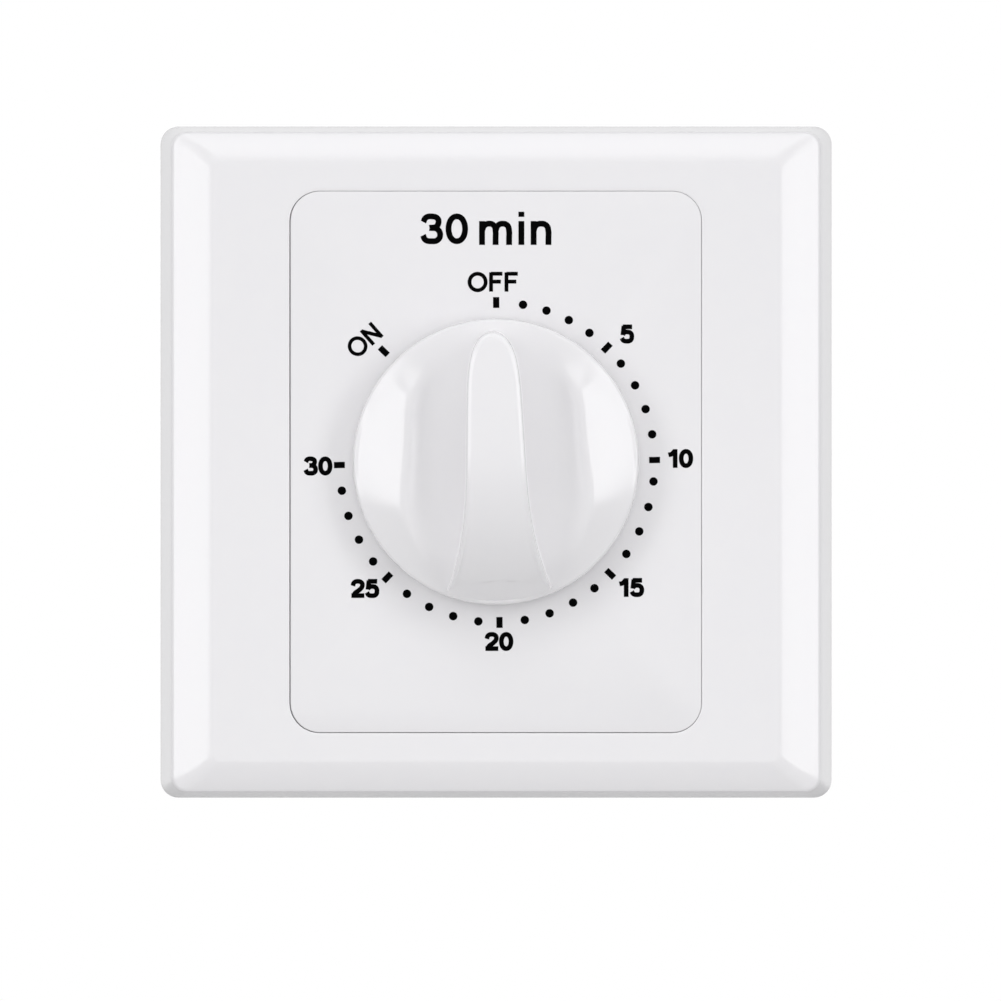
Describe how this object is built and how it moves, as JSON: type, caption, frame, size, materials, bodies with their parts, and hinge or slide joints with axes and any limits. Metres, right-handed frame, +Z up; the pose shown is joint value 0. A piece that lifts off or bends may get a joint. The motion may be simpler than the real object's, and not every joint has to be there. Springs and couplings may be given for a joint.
{
  "type": "countdown timer switch",
  "caption": "Spring-wound countdown timer switch for a square wall box, with a clip-on face frame, a dial and a knob.",
  "frame": {"origin": "middle of the plate on the wall plane, half way between the two wall screws", "axes": "+X right, +Z up, +Y into the wall; the knob faces -Y"},
  "size_m": [0.086, 0.0515, 0.086],
  "materials": {
    "white_plastic": "moulded white, soft gloss",
    "plate_plastic": "moulded white, satin",
    "housing_plastic": "moulded pale grey, satin",
    "insulator_plastic": "moulded dark brown, satin",
    "cam_plastic": "moulded natural nylon",
    "spring_steel": "hardened and blued strip",
    "zinc_steel": "bright zinc plating",
    "chromated_zinc": "zinc plating with iridescent chromate",
    "brass": "stamped or turned, plain",
    "spring_bronze": "rolled strip",
    "silver": "turned contact silver"
  },
  "bodies": {
    "base": {"mounting_plate": "plate_plastic", "dial_panel": "white_plastic", "rear_housing": "housing_plastic", "front_bush": "brass", "front_movement_plate": "zinc_steel", "rear_movement_plate": "zinc_steel", "movement_pillars": "zinc_steel", "mainspring": "spring_steel", "spring_post": "zinc_steel", "insulator_plate": "insulator_plastic", "terminal_line": "brass", "terminal_load": "brass", "terminal_screws": "zinc_steel", "fixed_contact_strap": "brass", "fixed_contact_tip": "silver", "mounting_screws": "chromated_zinc", "housing_screws": "zinc_steel", "movement_screws": "zinc_steel"},
    "cover": {"face_frame": "white_plastic"},
    "knob_and_shaft": {"knob": "white_plastic", "knob_spring_clip": "spring_steel", "main_shaft": "zinc_steel", "stop_arm": "zinc_steel", "clutch_spring": "spring_steel", "retaining_ring": "spring_steel", "switch_cam": "cam_plastic"},
    "great_gear": {"great_wheel": "brass"},
    "second_gear": {"second_arbor": "zinc_steel", "second_wheel": "brass"},
    "third_gear": {"third_arbor": "zinc_steel", "third_wheel": "brass"},
    "escape_gear": {"escape_arbor": "zinc_steel", "escape_wheel": "brass"},
    "pallet": {"pallet_arbor": "zinc_steel", "pallet_lever": "zinc_steel", "balance_bar": "brass"},
    "contact_leaf": {"moving_contact_leaf": "spring_bronze", "moving_contact_tip": "silver"}
  },
  "joints": [
    {"name": "frame_pull", "type": "slide", "parent": "base", "child": "cover", "axis": [0, -1, 0], "range_m": [0, 0.03]},
    {"name": "knob_turn", "type": "hinge", "parent": "base", "child": "knob_and_shaft", "pos_m": [0, 0, 0], "axis": [0, 1, 0], "range_deg": [-45, 270]},
    {"name": "great_wheel_spin", "type": "hinge", "parent": "base", "child": "great_gear", "pos_m": [0, 0, 0], "axis": [0, 1, 0], "continuous": true},
    {"name": "second_wheel_spin", "type": "hinge", "parent": "base", "child": "second_gear", "pos_m": [0.0095, 0, -0.0095], "axis": [0, 1, 0], "continuous": true},
    {"name": "third_wheel_spin", "type": "hinge", "parent": "base", "child": "third_gear", "pos_m": [0.00043, 0, -0.01281], "axis": [0, 1, 0], "continuous": true},
    {"name": "escape_wheel_spin", "type": "hinge", "parent": "base", "child": "escape_gear", "pos_m": [-0.00785, 0, -0.01427], "axis": [0, 1, 0], "continuous": true},
    {"name": "pallet_swing", "type": "hinge", "parent": "base", "child": "pallet", "pos_m": [-0.01356, 0, -0.01097], "axis": [0, 1, 0], "range_deg": [-4, 4]},
    {"name": "contact_close", "type": "hinge", "parent": "base", "child": "contact_leaf", "pos_m": [0.0102, 0, -0.012], "axis": [0, 1, 0], "range_deg": [0, 1.9], "stiffness_Nm_per_rad": 0.01}
  ],
  "couplings": [
    {"joint": "second_wheel_spin", "follows": "great_wheel_spin", "ratio": -7},
    {"joint": "third_wheel_spin", "follows": "great_wheel_spin", "ratio": 42},
    {"joint": "escape_wheel_spin", "follows": "great_wheel_spin", "ratio": -252}
  ]
}
